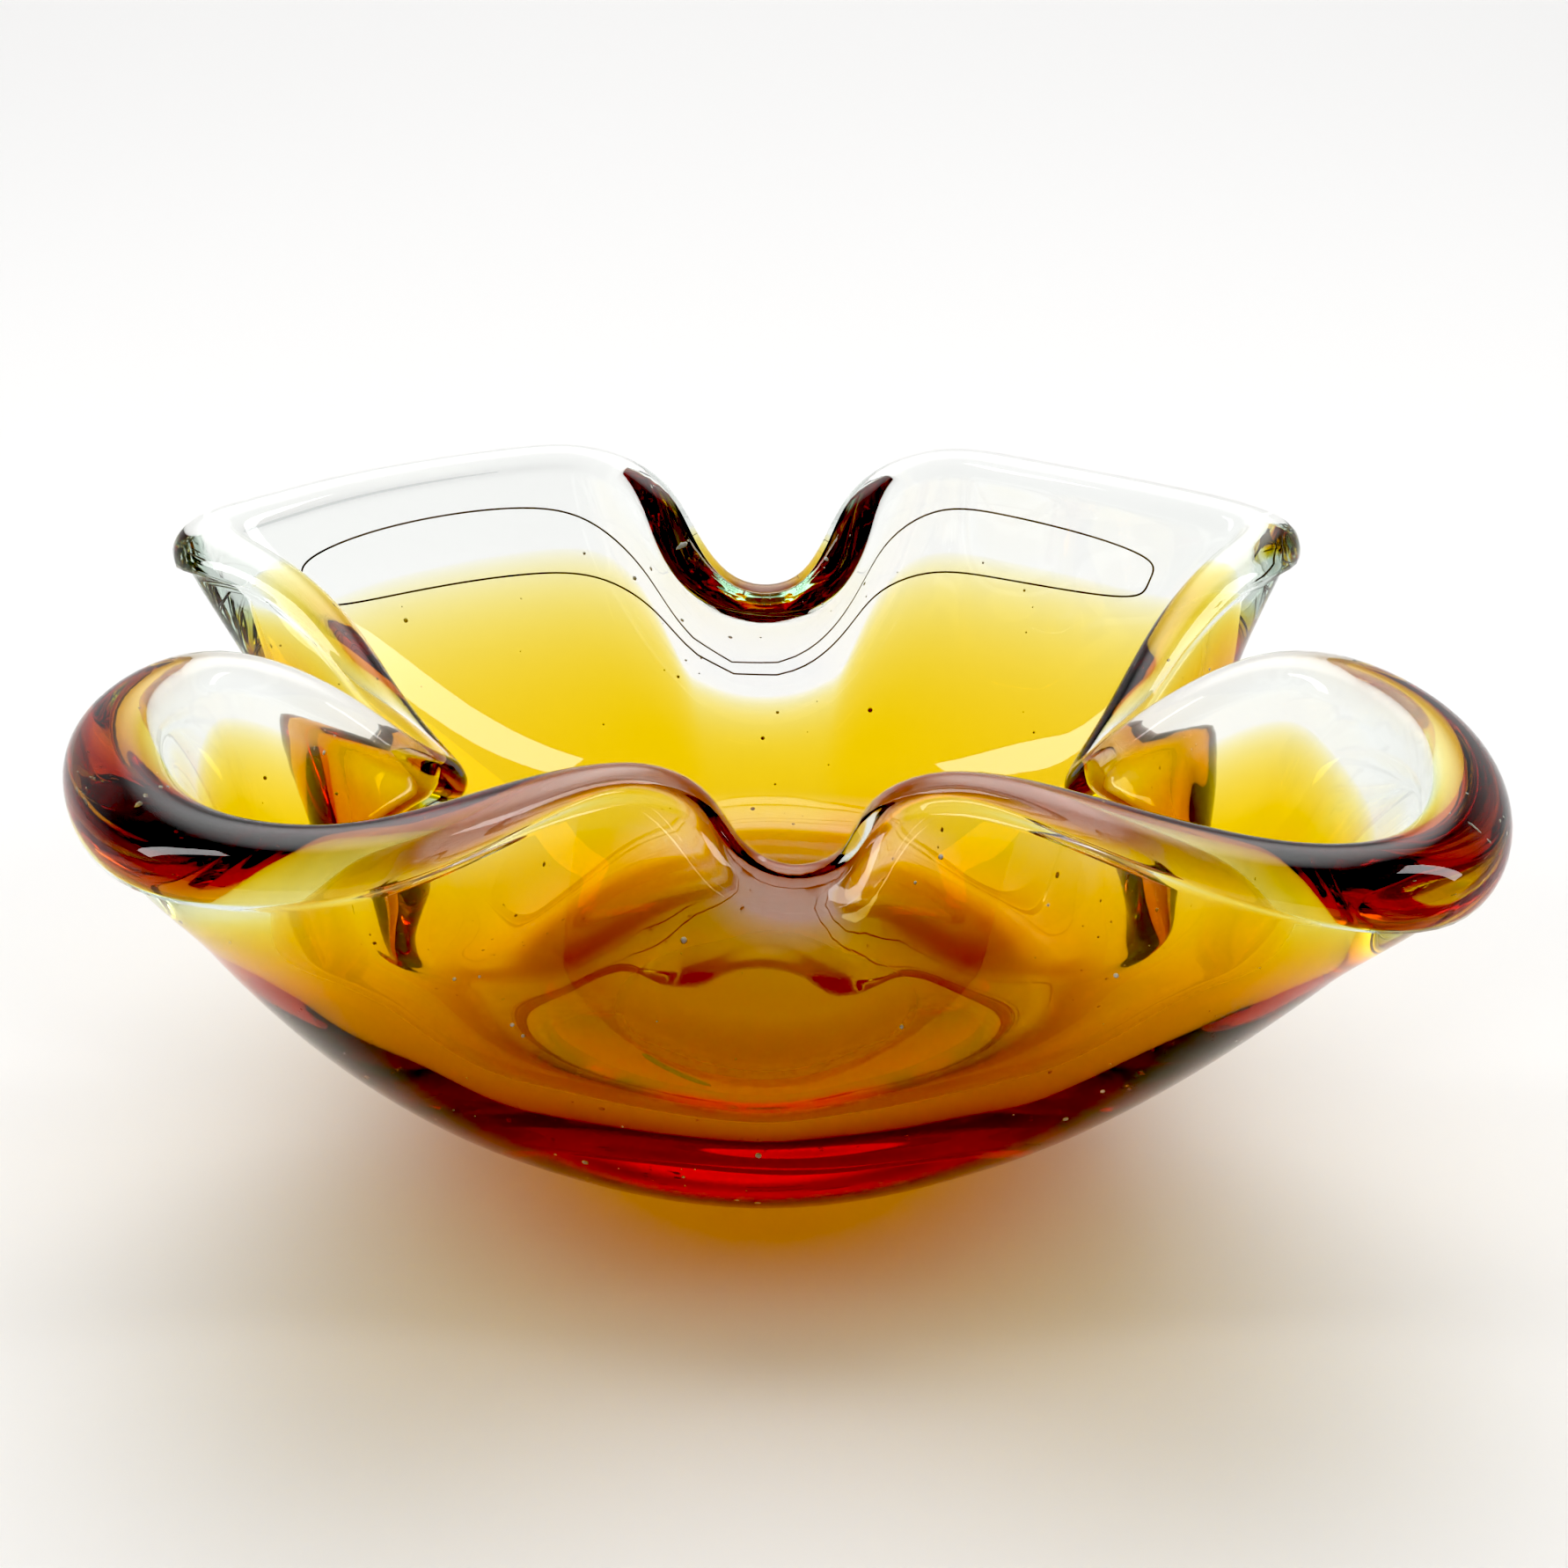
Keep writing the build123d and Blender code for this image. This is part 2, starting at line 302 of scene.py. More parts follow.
class Shade:
    """The node tree of a material or of the world."""

    def __init__(self, tree):
        self.tree = tree

    def node(self, kind, settings=None, out=0, **values):
        """Adds a node: its settings first, then the values or links of its sockets. A
        socket is named, with _ for a space, or numbered, as i0, i1. Returns output `out`."""
        made = self.tree.nodes.new(kind)
        for key, value in (settings or {}).items():
            if key == "stops":
                ramp = made.color_ramp.elements
                for index, (at, colour) in enumerate(value):
                    stop = ramp[index] if index < 2 else ramp.new(at)
                    stop.position = at
                    stop.color = colour
            else:
                setattr(made, key, value)
        for key, value in values.items():
            name = int(key[1:]) if key[0] == "i" and key[1:].isdigit() else key.replace("_", " ")
            if isinstance(value, Sock):
                self.tree.links.new(value.socket, made.inputs[name])
            else:
                made.inputs[name].default_value = value
        return Sock(self.tree, made.outputs[out])


def new_glass(name, ior, density, tint):
    """A material with a smooth surface that lets all light through, and absorption in
    the body. Returns it, its shade and its surface node."""
    material = bpy.data.materials.new(name)
    material.use_nodes = True
    tree = material.node_tree
    tree.nodes.clear()
    shade = Shade(tree)
    surface = shade.node("ShaderNodeBsdfPrincipled", Base_Color=WHITE, Roughness=0.0, IOR=ior,
                         Transmission_Weight=1.0)
    body = shade.node("ShaderNodeVolumeAbsorption", Color=(*tint, 1.0), Density=density)
    output = tree.nodes.new("ShaderNodeOutputMaterial")
    tree.links.new(surface.socket, output.inputs["Surface"])
    tree.links.new(body.socket, output.inputs["Volume"])
    return material, shade, surface.socket.node


def clear_glass(finish):
    """Clear glass: faint waves from the tools, a faint grey green body tint, and a flat
    under the foot that is ground matte."""
    material, shade, surface = new_glass("clear_glass", finish.clear_ior, finish.clear_density,
                                         finish.clear_tint)
    place = shade.node("ShaderNodeTexCoord", None, "Object")
    broad = shade.node("ShaderNodeTexNoise", None, "Fac", Vector=place, Scale=finish.wave_scale,
                       Detail=1.0, Roughness=0.4)
    bump = shade.node("ShaderNodeBump", Strength=finish.wave_strength, Distance=finish.wave_depth,
                      Height=broad)
    shade.tree.links.new(bump.socket, surface.inputs["Normal"])
    height = shade.node("ShaderNodeSeparateXYZ", None, "Z", Vector=place)
    polished = shade.node("ShaderNodeMapRange", Value=height, i1=finish.ground_below,
                          i2=finish.polished_above, i3=0.0, i4=1.0)
    rough = finish.ground_roughness * (1.0 - polished)
    shade.tree.links.new(rough.socket, surface.inputs["Roughness"])
    return material


def amber_glass(finish):
    """Amber glass fused into the clear: no change of index, so it only colours."""
    return new_glass("amber_glass", finish.amber_ior, finish.amber_density, finish.amber_tint)[0]


def speckled(name, scale, detail, stops, roughness):
    """A solid colour that a noise moves between two stops of a ramp."""
    material = bpy.data.materials.new(name)
    material.use_nodes = True
    shade = Shade(material.node_tree)
    surface = material.node_tree.nodes["Principled BSDF"]
    place = shade.node("ShaderNodeTexCoord", None, "Object")
    noise = shade.node("ShaderNodeTexNoise", None, "Fac", Vector=place, Scale=scale, Detail=detail)
    ramp = shade.node("ShaderNodeValToRGB", {"stops": stops}, Fac=noise)
    shade.tree.links.new(ramp.socket, surface.inputs["Base Color"])
    surface.inputs["Roughness"].default_value = roughness
    return material


def dark_seam():
    """The seam: brown, darker and paler along its length."""
    stops = [(0.35, (0.05, 0.03, 0.02, 1.0)), (0.7, (0.28, 0.2, 0.13, 1.0))]
    return speckled("dark_seam", 60.0, 2.0, stops, 0.6)


def painted_bubble_glint():
    """Seed bubbles as pale specks: painted highlight, a pale colour standing in for the glint of light in
    each bubble, a little unlike each other.
    """
    # painted highlight: pale diffuse colours in place of the light each glass bubble would catch
    stops = [(0.3, (0.55, 0.45, 0.35, 1.0)), (0.6, (0.95, 0.93, 0.9, 1.0))]
    return speckled("painted_bubble_glint", 300.0, 2.0, stops, 0.35)


# --- sizes and colours -------------------------------------------------------------------

class BowlShape(bpy.types.PropertyGroup):
    """Sizes of the bowl in millimetres, before it is set in the frame."""
    foot_radius: bpy.props.FloatProperty(
        name="Foot radius", description="Ground flat underneath, mm", default=26.0)
    base: bpy.props.FloatProperty(
        name="Base", description="Glass between foot and floor, mm", default=18.0)
    build_up: bpy.props.FloatProperty(
        name="Build-up", description="Extra glass on the floor, mm", default=12.0)
    build_up_ends: bpy.props.FloatProperty(
        name="Build-up ends", description="Part of the way up", default=0.95)
    wall: bpy.props.FloatProperty(
        name="Wall", description="Thickness of the upper wall, mm", default=9.0)
    rim_radius: bpy.props.FloatProperty(
        name="Rim radius", description="Rim before pinching, mm", default=112.0)
    rim_height: bpy.props.FloatProperty(
        name="Rim height", description="Rim before pinching, mm", default=88.0)
    belly: bpy.props.FloatProperty(
        name="Belly", description="Power of the wall's profile", default=2.7)
    pinch: bpy.props.FloatProperty(
        name="Pinch", description="How fast the pinches fade downward", default=5.0)
    evening: bpy.props.FloatProperty(
        name="Evening", description="Part of a turn evened out", default=0.013)
    lip_starts: bpy.props.FloatProperty(
        name="Lip starts", description="Part of the way up", default=0.88)
    lip_spread: bpy.props.FloatProperty(
        name="Lip spread", description="Swelling spread downward", default=0.45)
    lip_rise: bpy.props.FloatProperty(
        name="Lip rise", description="As a part of its half width", default=0.95)
    lip_squareness: bpy.props.FloatProperty(
        name="Lip squareness", description="2 is round", default=2.3)
    ground: bpy.props.FloatProperty(
        name="Ground", description="Belly's rise off the table round the flat, mm", default=2.2)
    ground_ends: bpy.props.FloatProperty(
        name="Ground ends", description="Part of the way up", default=0.24)
    amber_top: bpy.props.FloatProperty(
        name="Amber top", description="Part of the way up the back lobes", default=0.925)
    amber_top_in_pinch: bpy.props.FloatProperty(
        name="Amber top in pinch", description="Part of the way up", default=0.80)
    pinch_rim: bpy.props.FloatProperty(
        name="Pinch rim", description="Rim height that counts as pinch, mm", default=80.0)
    amber_top_at_front: bpy.props.FloatProperty(
        name="Amber top at front", description="Part of the way up", default=0.98)
    front_starts: bpy.props.FloatProperty(
        name="Front starts", description="Along Y, mm", default=66.0)
    front_ends: bpy.props.FloatProperty(
        name="Front ends", description="Along Y, mm", default=36.0)
    amber_dip: bpy.props.FloatProperty(
        name="Amber dip", description="How much lower in the widest lip", default=0.03)
    dip_lip: bpy.props.FloatProperty(
        name="Dip lip", description="Half width from which it dips, mm", default=7.0)
    amber_floor: bpy.props.FloatProperty(
        name="Amber at floor", description="Thickness, mm", default=5.5)
    amber_belly: bpy.props.FloatProperty(
        name="Amber in belly", description="Thickness, mm", default=8.0)
    amber_wall: bpy.props.FloatProperty(
        name="Amber in wall", description="Thickness, mm", default=3.2)
    amber_edge: bpy.props.FloatProperty(
        name="Amber at edge", description="Thickness, mm", default=0.1)
    amber_fade: bpy.props.FloatProperty(
        name="Amber fade", description="Power of its thinning at the back", default=9.0)
    amber_fade_at_front: bpy.props.FloatProperty(
        name="Amber fade at front", description="Power of its thinning", default=18.0)
    lining: bpy.props.FloatProperty(
        name="Lining", description="Clear glass inside the colour, mm", default=1.6)
    belly_full: bpy.props.FloatProperty(
        name="Belly full", description="Part of the amber's way up where it is thickest",
        default=0.28)
    thins_from: bpy.props.FloatProperty(
        name="Thins from", description="Part of its way up from which it thins", default=0.3)
    thins_over: bpy.props.FloatProperty(
        name="Thins over", description="Part of its way up over which it does", default=0.35)


class BowlSeam(bpy.types.PropertyGroup):
    """The seam line under the back rim. Places round the ring are parts of a turn of the
    rim line, heights are parts of the way up the wall."""
    middle: bpy.props.FloatProperty(name="Middle", description="Round the ring", default=0.5)
    span: bpy.props.FloatProperty(
        name="Span", description="To each side, round the ring", default=0.135)
    pinch_width: bpy.props.FloatProperty(
        name="Pinch width", description="Round the ring", default=0.045)
    height: bpy.props.FloatProperty(
        name="Height", description="Of its middle in the lobes", default=0.94)
    drop: bpy.props.FloatProperty(
        name="Drop", description="Of its middle in the pinch", default=0.075)
    width: bpy.props.FloatProperty(
        name="Width", description="Half the width of the loop", default=0.035)
    narrowing: bpy.props.FloatProperty(
        name="Narrowing", description="In the pinch", default=0.6)
    squareness: bpy.props.FloatProperty(
        name="Squareness", description="1 is an ellipse, less is squarer", default=0.45)
    depth: bpy.props.FloatProperty(
        name="Depth", description="Under the inside, mm", default=1.0)
    radius: bpy.props.FloatProperty(name="Radius", description="Of the seam, mm", default=0.2)


class BowlSeeds(bpy.types.PropertyGroup):
    """The seed bubbles."""
    pattern: bpy.props.IntProperty(
        name="Pattern", description="Number that fixes where they are", default=4)
    count: bpy.props.IntProperty(name="Count", description="How many", default=280)
    lowest: bpy.props.FloatProperty(
        name="Lowest", description="Part of the way up", default=0.25)
    highest: bpy.props.FloatProperty(
        name="Highest", description="Part of the way up", default=0.97)
    shallow: bpy.props.FloatProperty(name="Shallow", description="Least depth, mm", default=0.6)
    deep: bpy.props.FloatProperty(name="Deep", description="Most depth, mm", default=1.8)
    smallest: bpy.props.FloatProperty(name="Smallest", description="Radius, mm", default=0.15)
    largest: bpy.props.FloatProperty(name="Largest", description="Radius, mm", default=0.6)


class BowlFinish(bpy.types.PropertyGroup):
    """Colours and clearness of the glass."""
    clear_ior: bpy.props.FloatProperty(
        name="Clear index", description="Index of refraction", default=1.5)
    clear_tint: bpy.props.FloatVectorProperty(
        name="Clear tint", description="Light left by the clear glass", subtype="COLOR", size=3,
        default=(0.83, 0.90, 0.85))
    clear_density: bpy.props.FloatProperty(
        name="Clear density", description="Absorption per metre", default=30.0)
    wave_strength: bpy.props.FloatProperty(
        name="Waves", description="Strength of the tool waves", default=0.28)
    wave_scale: bpy.props.FloatProperty(
        name="Wave scale", description="Waves per metre", default=18.0)
    wave_depth: bpy.props.FloatProperty(
        name="Wave depth", description="Height of the tool waves", unit="LENGTH", default=0.001)
    ground_roughness: bpy.props.FloatProperty(
        name="Ground roughness", description="Of the flat under the foot", subtype="FACTOR",
        default=0.5)
    ground_below: bpy.props.FloatProperty(
        name="Ground below", description="Height up to which the foot is matte", unit="LENGTH",
        default=0.0002)
    polished_above: bpy.props.FloatProperty(
        name="Polished above", description="Height from which it is smooth", unit="LENGTH",
        default=0.0006)
    amber_ior: bpy.props.FloatProperty(
        name="Amber index", description="Against the clear glass", default=1.0)
    amber_tint: bpy.props.FloatVectorProperty(
        name="Amber tint", description="Light left by the amber glass", subtype="COLOR", size=3,
        default=(0.982, 0.862, 0.06))
    amber_density: bpy.props.FloatProperty(
        name="Amber density", description="Absorption per metre", default=1040.0)


class BowlStudio(bpy.types.PropertyGroup):
    """The floor, the lights and the camera."""
    aim: bpy.props.FloatVectorProperty(
        name="Aim", description="What the camera looks at", size=3, subtype="TRANSLATION",
        unit="LENGTH", default=(0.003, -0.0372, 0.0799))
    distance: bpy.props.FloatProperty(
        name="Distance", description="Camera to aim", unit="LENGTH", default=0.4)
    elevation: bpy.props.FloatProperty(
        name="Elevation", description="Of the camera", subtype="ANGLE",
        default=math.radians(25.34))
    heading: bpy.props.FloatProperty(
        name="Heading", description="Of the camera's view", subtype="ANGLE",
        default=math.radians(-0.475))
    lens: bpy.props.FloatProperty(name="Lens", description="Focal length, mm", default=56.06)
    gap: bpy.props.FloatProperty(
        name="Gap", description="Air under the foot", unit="LENGTH", default=0.0002)
    black: bpy.props.FloatProperty(
        name="Black", description="Light taken as black", default=0.055)
    back_light: bpy.props.FloatProperty(
        name="Back light", description="Strength of the light from behind", default=3.0)
    sky: bpy.props.FloatProperty(
        name="Sky", description="Strength of the light all round", default=0.75)
    front_share: bpy.props.FloatProperty(
        name="Front share", description="Share of the sky's light on the camera's side",
        subtype="FACTOR", default=0.12)
    zenith_share: bpy.props.FloatProperty(
        name="Zenith share", description="Share of the sky's light straight above",
        subtype="FACTOR", default=0.8)
    lamp_toward: bpy.props.FloatVectorProperty(
        name="Lamp toward", description="Direction of the light from behind", size=3,
        subtype="DIRECTION", default=(0.0, 0.6, 0.8))
    lamp_edge: bpy.props.FloatProperty(
        name="Lamp edge", description="Cosine of its half angle", default=0.8)
    softbox_place: bpy.props.FloatVectorProperty(
        name="Softbox place", description="The right one, the left one is its mirror image",
        size=3, subtype="TRANSLATION", unit="LENGTH", default=(0.9, -0.1, 0.75))
    softbox_aim: bpy.props.FloatProperty(
        name="Softbox aim", description="Height that both face", unit="LENGTH", default=0.05)
    softbox_width: bpy.props.FloatProperty(
        name="Softbox width", description="Short side", unit="LENGTH", default=0.16)
    softbox_height: bpy.props.FloatProperty(
        name="Softbox height", description="Long side", unit="LENGTH", default=0.8)
    softbox_power: bpy.props.FloatProperty(
        name="Softbox power", description="Of each", unit="POWER", default=2.4)
    floor_reach: bpy.props.FloatProperty(
        name="Floor reach", description="From the middle to an edge", unit="LENGTH", default=6.0)
    paper: bpy.props.FloatVectorProperty(
        name="Paper", description="Colour of the floor", subtype="COLOR", size=3, default=(0.90,
        0.893, 0.885))
    paper_roughness: bpy.props.FloatProperty(
        name="Paper roughness", description="Of the floor", subtype="FACTOR", default=0.6)


# --- the pieces --------------------------------------------------------------------------

def bowl_wall(shape):
    """The casing's wall and its rows from foot over the lip to the floor, in mm."""
    wall = Wall(shape, STATIONS)
    u = np.linspace(0.0, 1.0, WALL_ROWS)[:, None]
    outside = wall.level(u, wall.outside(u))
    rise = shape.lip_rise * wall.lip
    lip = wall.edge(np.ones((1, 1)), np.zeros(STATIONS), wall.lip, rise, shape.lip_squareness, LIP_ROWS)
    inside = wall.level(u, wall.half(u) + wall.built_up(u))
    return wall, np.concatenate([outside, lip, inside[::-1]])


class GLASSBOWL_OT_clear_casing(bpy.types.Operator):
    """Blow the clear body of the bowl, from its foot over the lip to its floor"""
    bl_idname = "glassbowl.clear_casing"
    bl_label = "Clear casing"

    def execute(self, context):
        shape, finish = context.scene.bowl_shape, context.scene.bowl_finish
        _, rows = bowl_wall(shape)
        points, quads, triangles = closed_skin(rows)
        points = to_frame(points, rows.reshape(-1, 3))
        casing = make_mesh("clear_casing_glass", points, quads, triangles)
        casing.data.materials.append(clear_glass(finish))
        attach(casing, "root")
        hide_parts("clear_casing")
        return {"FINISHED"}


class GLASSBOWL_OT_amber_layer(bpy.types.Operator):
    """Sink the amber layer into the wall, thick under the floor and thin at its edge"""
    bl_idname = "glassbowl.amber_layer"
    bl_label = "Amber layer"

    def execute(self, context):
        shape, finish = context.scene.bowl_shape, context.scene.bowl_finish
        wall, rows = bowl_wall(shape)
        height = wall.rim[:, 2]
        lobe = ease((height - shape.pinch_rim) / (height.max() - shape.pinch_rim))
        top = shape.amber_top_in_pinch + (shape.amber_top - shape.amber_top_in_pinch) * lobe
        front = ease((shape.front_starts - wall.rim[:, 1]) / (shape.front_starts - shape.front_ends))
        top = top + (shape.amber_top_at_front - top) * front
        widest = ease((wall.lip - shape.dip_lip) / (wall.lip.max() - shape.dip_lip))
        top = top - shape.amber_dip * widest
        part = np.linspace(0.0, 1.0, AMBER_ROWS)[:, None]
        in_belly = ease(part / shape.belly_full)
        body = shape.amber_floor + (shape.amber_belly - shape.amber_floor) * in_belly
        in_wall = ease((part - shape.thins_from) / shape.thins_over)
        body = body + (shape.amber_wall - shape.amber_belly) * in_wall
        fade = shape.amber_fade + (shape.amber_fade_at_front - shape.amber_fade) * front
        thick = body + (shape.amber_edge - body) * part**fade
        u = part * top
        inner = wall.plain(u) + wall.built_up(u) - shape.lining
        under = wall.level(u, inner - thick)
        over = wall.level(u, inner)
        half = shape.amber_edge / 2
        rise = np.full(STATIONS, half)
        edge = wall.edge(u[-1:], inner[-1] - half, half, rise, 2.0, AMBER_EDGE_ROWS)
        points, quads, triangles = closed_skin(np.concatenate([under, edge, over[::-1]]))
        points = to_frame(points, rows.reshape(-1, 3))
        layer = make_mesh("amber_layer_glass", points, quads, triangles)
        layer.data.materials.append(amber_glass(finish))
        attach(layer, "root")
        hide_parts("amber_layer")
        return {"FINISHED"}


class GLASSBOWL_OT_seam_line(bpy.types.Operator):
    """Draw the hair-thin dark seam where the layers of glass meet under the back rim. It is
    one closed loop: its upper line runs below the lip, its lower line along the amber's
    edge, and they come together round a bend at each end and almost meet in the pinch"""
    bl_idname = "glassbowl.seam_line"
    bl_label = "Seam line"

    def execute(self, context):
        shape, seam = context.scene.bowl_shape, context.scene.bowl_seam
        wall, rows = bowl_wall(shape)
        turn = np.arange(SEAM_POINTS) * 2.0 * np.pi / SEAM_POINTS
        across = np.sign(np.cos(turn)) * np.abs(np.cos(turn)) ** seam.squareness
        above = np.sign(np.sin(turn)) * np.abs(np.sin(turn)) ** seam.squareness
        station = (seam.middle + seam.span * across) * STATIONS
        first = np.floor(station).astype(int)
        share = (station - first)[:, None]
        dip = np.exp(-((across * seam.span / seam.pinch_width) ** 2))
        centre = seam.height - seam.drop * dip
        half = seam.width * (1.0 - seam.narrowing * dip)
        u = (centre + half * above)[:, None] + np.zeros((1, STATIONS))
        rings = wall.level(u, wall.half(u) + wall.built_up(u) - seam.depth)
        each = np.arange(SEAM_POINTS)
        line = rings[each, first % STATIONS] * (1.0 - share)
        line = line + rings[each, (first + 1) % STATIONS] * share
        along = unit(np.roll(line, -1, axis=0) - np.roll(line, 1, axis=0))
        side = unit(np.cross(along, [0.0, 0.0, 1.0]))
        rise = np.cross(side, along)
        angle = (np.arange(SEAM_SIDES) * 2.0 * np.pi / SEAM_SIDES)[:, None]
        round_it = np.cos(angle) * side[:, None] + np.sin(angle) * rise[:, None]
        tube = line[:, None] + seam.radius * round_it
        i, j = each[:, None], np.arange(SEAM_SIDES)
        n, m = (i + 1) % SEAM_POINTS, (j + 1) % SEAM_SIDES
        ahead, here = n * SEAM_SIDES, i * SEAM_SIDES
        quads = np.stack([here + j, ahead + j, ahead + m, here + m], axis=-1).reshape(-1, 4)
        points = to_frame(tube.reshape(-1, 3), rows.reshape(-1, 3))
        piece = make_mesh("seam_line_glass", points, quads, np.zeros((0, 3), int))
        piece.data.materials.append(dark_seam())
        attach(piece, "root")
        return {"FINISHED"}


def small_ball():
    """A ball of radius 1 from three rings and two poles: its points, quads and triangles."""
    n = SEED_SIDES
    tilt = np.radians(np.array([-45.0, 0.0, 45.0]))[:, None]
    turn = np.arange(n) * 2.0 * np.pi / n
    rings = [np.cos(tilt) * np.cos(turn), np.cos(tilt) * np.sin(turn), np.sin(tilt) + 0.0 * turn]
    points = np.concatenate([np.stack(rings, axis=-1).reshape(-1, 3), [[0, 0, -1]], [[0, 0, 1]]])
    i, j = np.arange(2)[:, None], np.arange(n)
    k = (j + 1) % n
    quads = np.stack([i * n + j, i * n + k, (i + 1) * n + k, (i + 1) * n + j], axis=-1)
    low = np.stack([k, j, np.full(n, 3 * n)], axis=-1)
    high = np.stack([2 * n + j, 2 * n + k, np.full(n, 3 * n + 1)], axis=-1)
    return points, quads.reshape(-1, 4), np.concatenate([low, high])


class GLASSBOWL_OT_seed_bubbles(bpy.types.Operator):
    """Scatter tiny seed bubbles just under the outside of the wall"""
    bl_idname = "glassbowl.seed_bubbles"
    bl_label = "Seed bubbles"

    def execute(self, context):
        shape, seed = context.scene.bowl_shape, context.scene.bowl_seeds
        wall, rows = bowl_wall(shape)
        chance = np.random.default_rng(seed.pattern)
        count = seed.count
        u = np.sort(chance.uniform(seed.lowest, seed.highest, count))[:, None] + np.zeros((1, STATIONS))
        under = chance.uniform(seed.shallow, seed.deep, (count, 1))
        rings = wall.level(u, wall.outside(u) + under)
        centres = rings[np.arange(count), chance.integers(0, STATIONS, count)]
        share = chance.uniform(0.0, 1.0, count) ** 3
        radius = seed.smallest + (seed.largest - seed.smallest) * share
        ball, quads, caps = small_ball()
        points = (centres[:, None] + radius[:, None, None] * ball).reshape(-1, 3)
        shift = np.arange(count)[:, None, None] * len(ball)
        piece = make_mesh("seed_bubbles_glass", to_frame(points, rows.reshape(-1, 3)),
                          (quads + shift).reshape(-1, 4), (caps + shift).reshape(-1, 3))
        # the bubbles get a painted highlight: a pale diffuse colour for their glint
        piece.data.materials.append(painted_bubble_glint())
        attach(piece, "root")
        return {"FINISHED"}


def lay_floor(studio):
    """A flat square of pale paper just under the foot."""
    reach = studio.floor_reach * np.array([(-1, -1), (1, -1), (1, 1), (-1, 1)])
    corners = np.column_stack([reach, np.full(4, -studio.gap)])
    floor = make_mesh("studio_floor", corners, np.array([[0, 1, 2, 3]]), np.zeros((0, 3), int))
    paper = bpy.data.materials.new("pale_paper")
    paper.use_nodes = True
    surface = paper.node_tree.nodes["Principled BSDF"]
    surface.inputs["Base Color"].default_value = (*studio.paper, 1.0)
    surface.inputs["Roughness"].default_value = studio.paper_roughness
    floor.data.materials.append(paper)


def studio_world(studio):
    """White sky, dimmer toward the camera's side and a little dimmer straight above, plus
    one broad soft lamp behind and over the bowl."""
    world = bpy.data.worlds.new("studio_world")
    world.use_nodes = True
    world.node_tree.nodes.clear()
    shade = Shade(world.node_tree)
    place = shade.node("ShaderNodeTexCoord", None, "Generated")
    back = shade.node("ShaderNodeSeparateXYZ", None, "Y", Vector=place)
    height = shade.node("ShaderNodeSeparateXYZ", None, "Z", Vector=place)
    side = shade.node("ShaderNodeMapRange", Value=back, i1=-0.7, i2=0.1, i3=studio.front_share, i4=1.0)
    over = shade.node("ShaderNodeMapRange", Value=height, i1=0.2, i2=1.0, i3=1.0, i4=studio.zenith_share)
    near = shade.node("ShaderNodeVectorMath", {"operation": "DOT_PRODUCT"}, "Value",
                      i0=place, i1=tuple(studio.lamp_toward))
    lamp = shade.node("ShaderNodeMapRange", {"interpolation_type": "SMOOTHSTEP"}, Value=near,
                      i1=studio.lamp_edge, i2=1.0, i3=0.0, i4=studio.back_light)
    sky = shade.node("ShaderNodeBackground", Color=WHITE, Strength=side * over * studio.sky + lamp)
    output = world.node_tree.nodes.new("ShaderNodeOutputWorld")
    world.node_tree.links.new(sky.socket, output.inputs["Surface"])
    return world


def softbox(name, studio, side):
    """A tall narrow soft light to one side, turned to the bowl."""
    light = bpy.data.lights.new(name, "AREA")
    light.shape = "RECTANGLE"
    light.size, light.size_y = studio.softbox_width, studio.softbox_height
    light.energy = studio.softbox_power
    obj = bpy.data.objects.new(name, light)
    x, y, z = studio.softbox_place
    obj.location = (side * x, y, z)
    toward = Vector((0.0, 0.0, studio.softbox_aim)) - obj.location
    obj.rotation_euler = toward.to_track_quat("-Z", "Y").to_euler()
    bpy.context.scene.collection.objects.link(obj)


def studio_camera(studio):
    """The camera: `distance` from its aim, raised and turned by two angles."""
    camera = bpy.data.cameras.new("camera")
    camera.lens, camera.sensor_width = studio.lens, 36.0
    camera.clip_start = 0.01
    holder = bpy.data.objects.new("camera", camera)
    e, h = studio.elevation, studio.heading
    away = Vector((math.sin(h) * math.cos(e), -math.cos(h) * math.cos(e), math.sin(e)))
    holder.location = Vector(studio.aim) + away * studio.distance
    holder.rotation_euler = (math.pi / 2 - e, 0.0, h)
    bpy.context.scene.collection.objects.link(holder)
    return holder


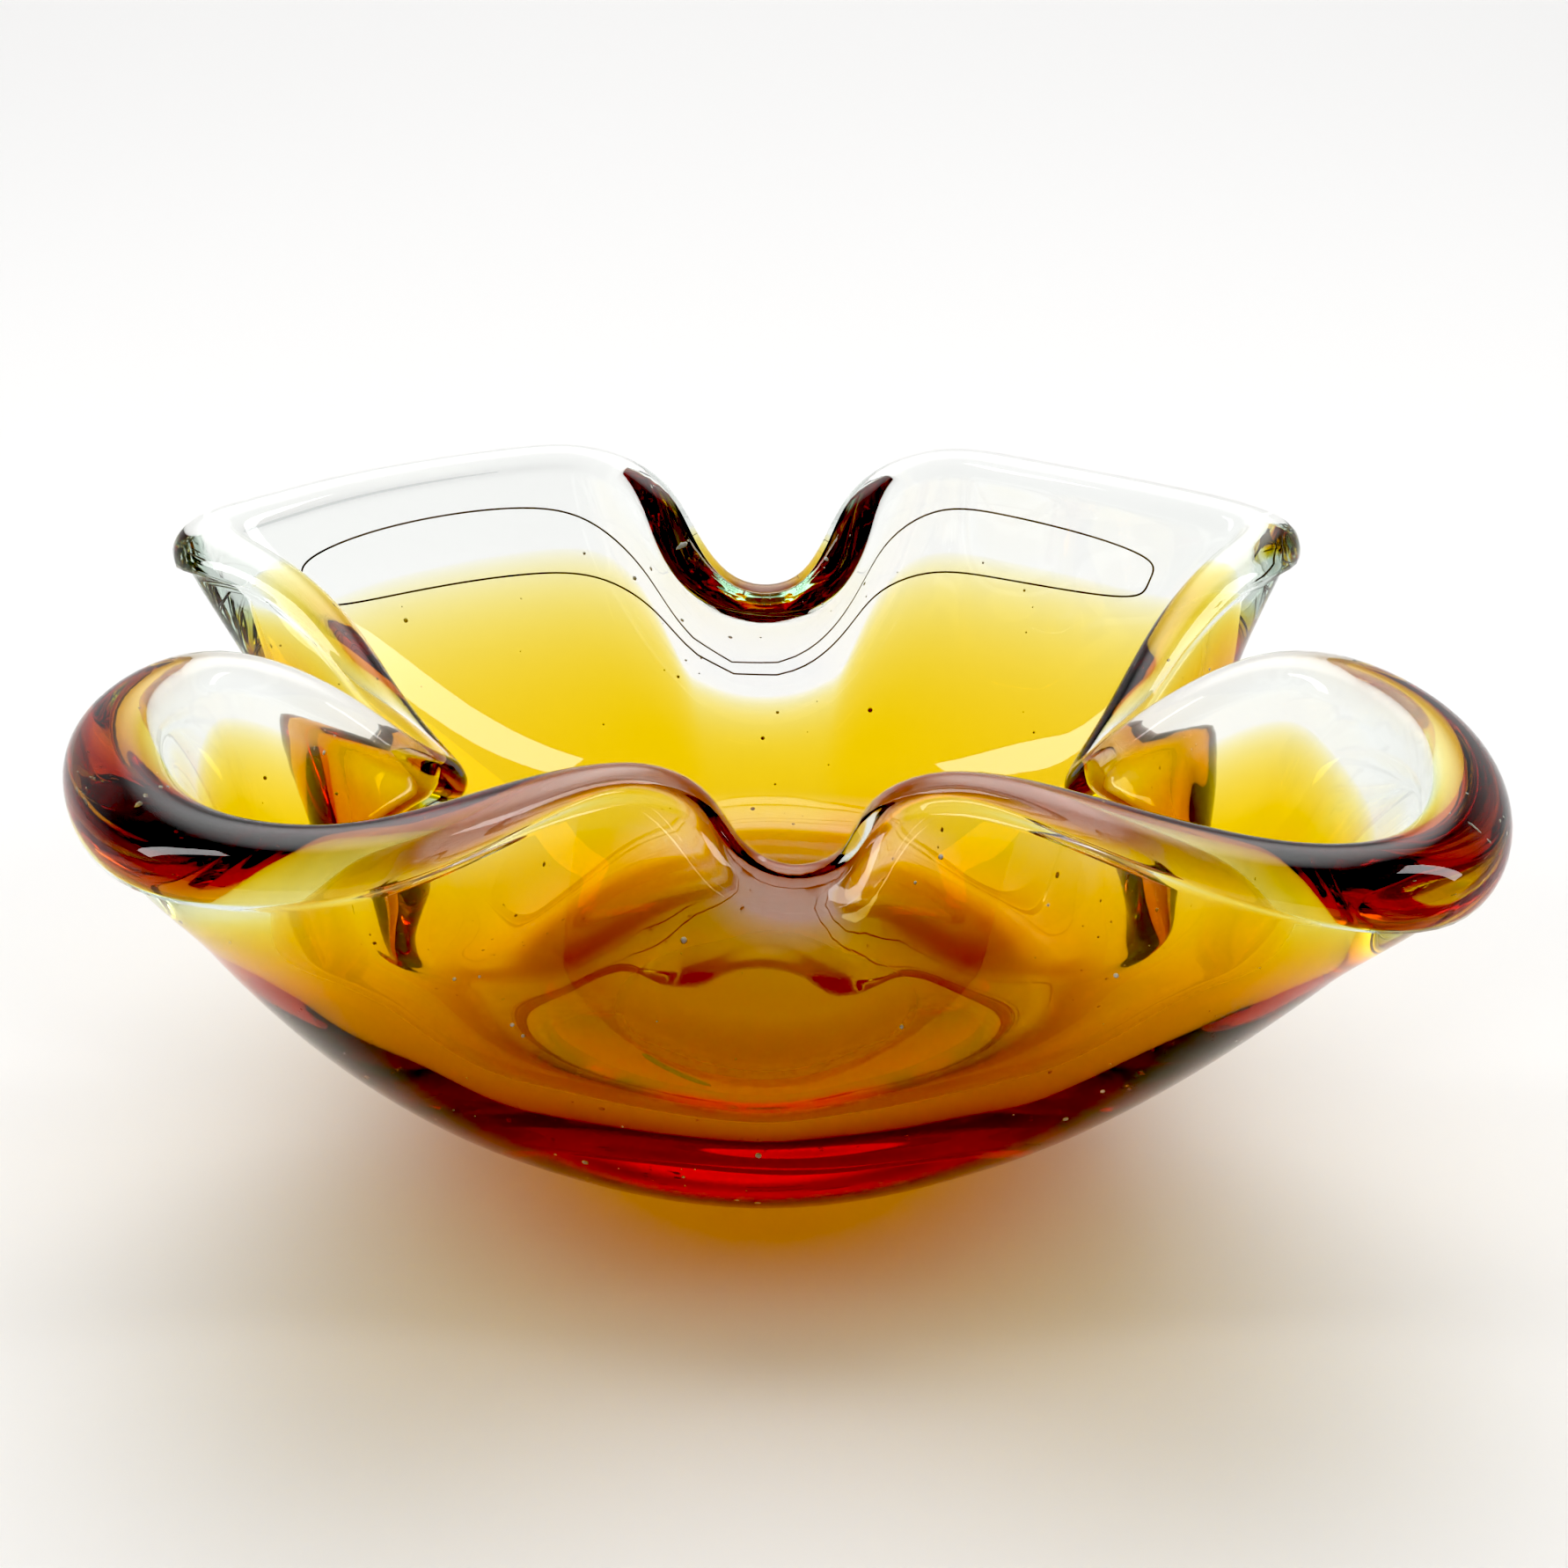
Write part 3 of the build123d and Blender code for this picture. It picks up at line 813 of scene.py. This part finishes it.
class GLASSBOWL_OT_studio(bpy.types.Operator):
    """Lay the pale floor and set the soft lights and the camera"""
    bl_idname = "glassbowl.studio"
    bl_label = "Studio"

    def execute(self, context):
        scene = context.scene
        studio = scene.bowl_studio
        lay_floor(studio)
        scene.world = studio_world(studio)
        softbox("softbox_left", studio, -1)
        softbox("softbox_right", studio, 1)
        scene.camera = studio_camera(studio)
        scene.view_settings.view_transform = "Standard"
        scene.view_settings.use_curve_mapping = True
        curve = scene.view_settings.curve_mapping
        curve.black_level = (studio.black,) * 3
        curve.update()
        scene.cycles.use_denoising = True
        scene.cycles.max_bounces = 40
        scene.cycles.transmission_bounces = 40
        scene.cycles.glossy_bounces = 12
        scene.cycles.diffuse_bounces = 4
        return {"FINISHED"}


STEPS = (GLASSBOWL_OT_clear_casing, GLASSBOWL_OT_amber_layer, GLASSBOWL_OT_seam_line,
         GLASSBOWL_OT_seed_bubbles, GLASSBOWL_OT_studio)


class GLASSBOWL_PT_sidebar(bpy.types.Panel):
    """The bowl's steps and sizes"""
    bl_idname = "GLASSBOWL_PT_sidebar"
    bl_label = "Glass Bowl"
    bl_space_type = "VIEW_3D"
    bl_region_type = "UI"
    bl_category = "Glass Bowl"

    def draw(self, context):
        for step in STEPS:
            self.layout.operator(step.bl_idname)
        scene = context.scene
        groups = (scene.bowl_shape, scene.bowl_seam, scene.bowl_seeds, scene.bowl_finish, scene.bowl_studio)
        for group in groups:
            box = self.layout.box()
            for name in group.__annotations__:
                box.prop(group, name)


CLASSES = (BowlShape, BowlSeam, BowlSeeds, BowlFinish, BowlStudio) + STEPS + (GLASSBOWL_PT_sidebar,)


def register():
    for cls in CLASSES:
        bpy.utils.register_class(cls)
    bpy.types.Scene.bowl_shape = bpy.props.PointerProperty(type=BowlShape)
    bpy.types.Scene.bowl_seam = bpy.props.PointerProperty(type=BowlSeam)
    bpy.types.Scene.bowl_seeds = bpy.props.PointerProperty(type=BowlSeeds)
    bpy.types.Scene.bowl_finish = bpy.props.PointerProperty(type=BowlFinish)
    bpy.types.Scene.bowl_studio = bpy.props.PointerProperty(type=BowlStudio)


def unregister():
    del bpy.types.Scene.bowl_studio
    del bpy.types.Scene.bowl_finish
    del bpy.types.Scene.bowl_seeds
    del bpy.types.Scene.bowl_seam
    del bpy.types.Scene.bowl_shape
    for cls in reversed(CLASSES):
        bpy.utils.unregister_class(cls)


def main():
    register()
    bpy.ops.glassbowl.clear_casing()
    bpy.ops.glassbowl.amber_layer()
    bpy.ops.glassbowl.seam_line()
    bpy.ops.glassbowl.seed_bubbles()
    bpy.ops.glassbowl.studio()


if __name__ == "__main__":
    main()
